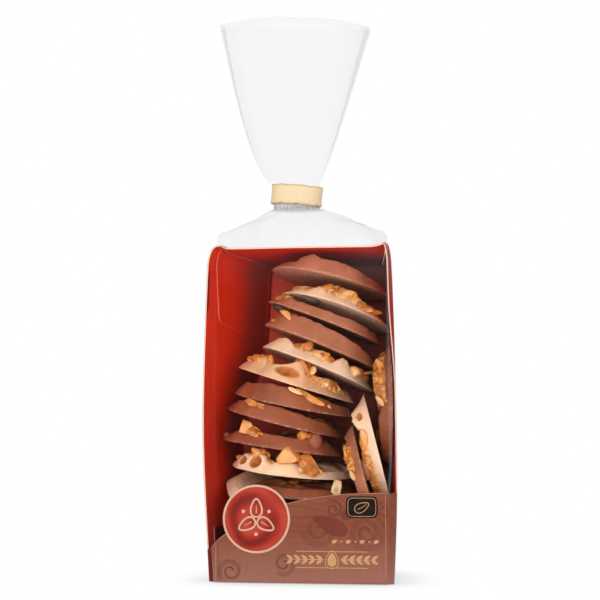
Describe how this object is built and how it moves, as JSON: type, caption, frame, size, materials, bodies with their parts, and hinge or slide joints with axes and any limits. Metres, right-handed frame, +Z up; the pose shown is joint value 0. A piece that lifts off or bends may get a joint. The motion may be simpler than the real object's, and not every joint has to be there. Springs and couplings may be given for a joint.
{
  "type": "bag of florentine cookies",
  "caption": "Clear gathered bag of florentine cookies standing upright, with an open-fronted red carton, a low wavy front panel, a flat tie round the neck and a flared top.",
  "frame": {"origin": "under the middle of the carton's base, on the surface the pack stands on", "axes": "+Z up along the pack, front facing -Y, +X to the right seen from the front"},
  "size_m": [0.0812, 0.058, 0.243],
  "materials": {
    "film": "clear, thin and glossy",
    "red_card": "smooth printed card, satin",
    "brown_card": "smooth printed card, satin",
    "tie_foil": "pale gold, satin",
    "milk_chocolate": "smooth, satin",
    "white_chocolate": "smooth, satin",
    "caramel_almond": "glossy caramel with sliced nuts"
  },
  "bodies": {
    "root": {"florentines": "milk_chocolate", "bag": "film", "bag_flare": "film", "carton": "red_card", "front_panel": "brown_card", "tie": "tie_foil"}
  },
  "joints": []
}
